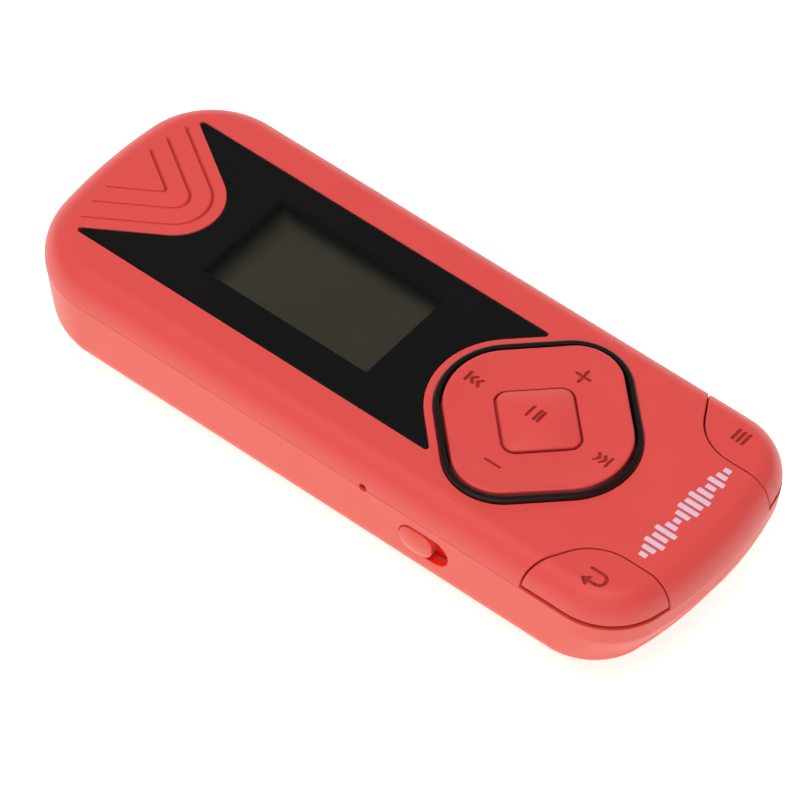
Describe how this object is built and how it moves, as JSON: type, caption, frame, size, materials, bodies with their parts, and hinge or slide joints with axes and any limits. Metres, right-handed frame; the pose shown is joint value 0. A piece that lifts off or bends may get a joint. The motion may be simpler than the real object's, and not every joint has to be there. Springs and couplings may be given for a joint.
{
  "type": "digital audio player",
  "caption": "Slim pocket audio player with a black display window, rounded-diamond rocker pad, corner keys, hold slider, headphone jack and sprung belt clip.",
  "frame": {"origin": "on the outer face of the clip, which it rests on, under the middle of the back shell", "axes": "+Z out of the display, +Y towards the notched end that holds the jack, +X towards the menu key's side"},
  "size_m": [0.0314, 0.0801, 0.0161],
  "materials": {
    "red_shell": "soft-touch satin",
    "red_back": "soft-touch satin",
    "gloss_black": "polished",
    "display": "satin",
    "flex": "satin",
    "black_trim": "satin",
    "silicone": "matte",
    "steel": "satin",
    "dark_metal": "matte",
    "board": "solder mask",
    "chip": "moulded",
    "cell": "foil",
    "tape": "foam",
    "wire": "satin",
    "contact": "plated"
  },
  "bodies": {
    "casing": {"front_shell": "red_shell", "back_shell": "red_back", "display_window": "gloss_black", "display_module": "display", "display_flex": "flex", "trim_ring": "black_trim", "pad_switches": "steel", "centre_switch": "steel", "corner_switches": "steel", "hold_switch": "steel", "microphone": "dark_metal", "main_board": "board", "processor": "chip", "memory_chip": "chip", "crystal": "steel", "battery": "cell", "battery_tape": "tape", "battery_leads": "wire", "headphone_jack": "chip", "jack_contacts": "contact", "usb_shell": "steel", "usb_tongue": "chip", "card_socket": "steel", "case_screws": "steel", "clip_pin": "steel", "clip_spring": "steel"},
    "pad_carrier": {"pad_membrane": "silicone"},
    "pad": {"control_pad": "red_shell"},
    "centre_key": {"centre_button": "red_shell"},
    "menu_key": {"menu_button": "red_shell"},
    "return_key": {"return_button": "red_shell"},
    "hold_knob": {"hold_slider": "red_back"},
    "clip": {"belt_clip": "red_back"}
  },
  "joints": [
    {"name": "pad_tilt_sides", "type": "hinge", "parent": "casing", "child": "pad_carrier", "pos_m": [0, -0.0173, 0.0131], "axis": [0, 1, 0], "range_deg": [-1.2, 1.2], "stiffness_Nm_per_rad": 0.2},
    {"name": "pad_tilt_ends", "type": "hinge", "parent": "pad_carrier", "child": "pad", "pos_m": [0, -0.0173, 0.0131], "axis": [1, 0, 0], "range_deg": [-1.2, 1.2], "stiffness_Nm_per_rad": 0.2},
    {"name": "centre_press", "type": "slide", "parent": "casing", "child": "centre_key", "axis": [0, 0, -1], "range_m": [0, 0.00025], "stiffness_N_per_m": 3000, "springref_m": -0.0002},
    {"name": "menu_press", "type": "slide", "parent": "casing", "child": "menu_key", "axis": [0, 0, -1], "range_m": [0, 0.00025], "stiffness_N_per_m": 3000, "springref_m": -0.0002},
    {"name": "return_press", "type": "slide", "parent": "casing", "child": "return_key", "axis": [0, 0, -1], "range_m": [0, 0.00025], "stiffness_N_per_m": 3000, "springref_m": -0.0002},
    {"name": "hold_slide", "type": "slide", "parent": "casing", "child": "hold_knob", "axis": [0, -1, 0], "range_m": [0, 0.0018]},
    {"name": "clip_hinge", "type": "hinge", "parent": "casing", "child": "clip", "pos_m": [0, 0.016, 0.0056], "axis": [1, 0, 0], "range_deg": [0, 15], "stiffness_Nm_per_rad": 0.15, "springref_deg": -28.65, "deforming": ["clip_spring"]}
  ]
}
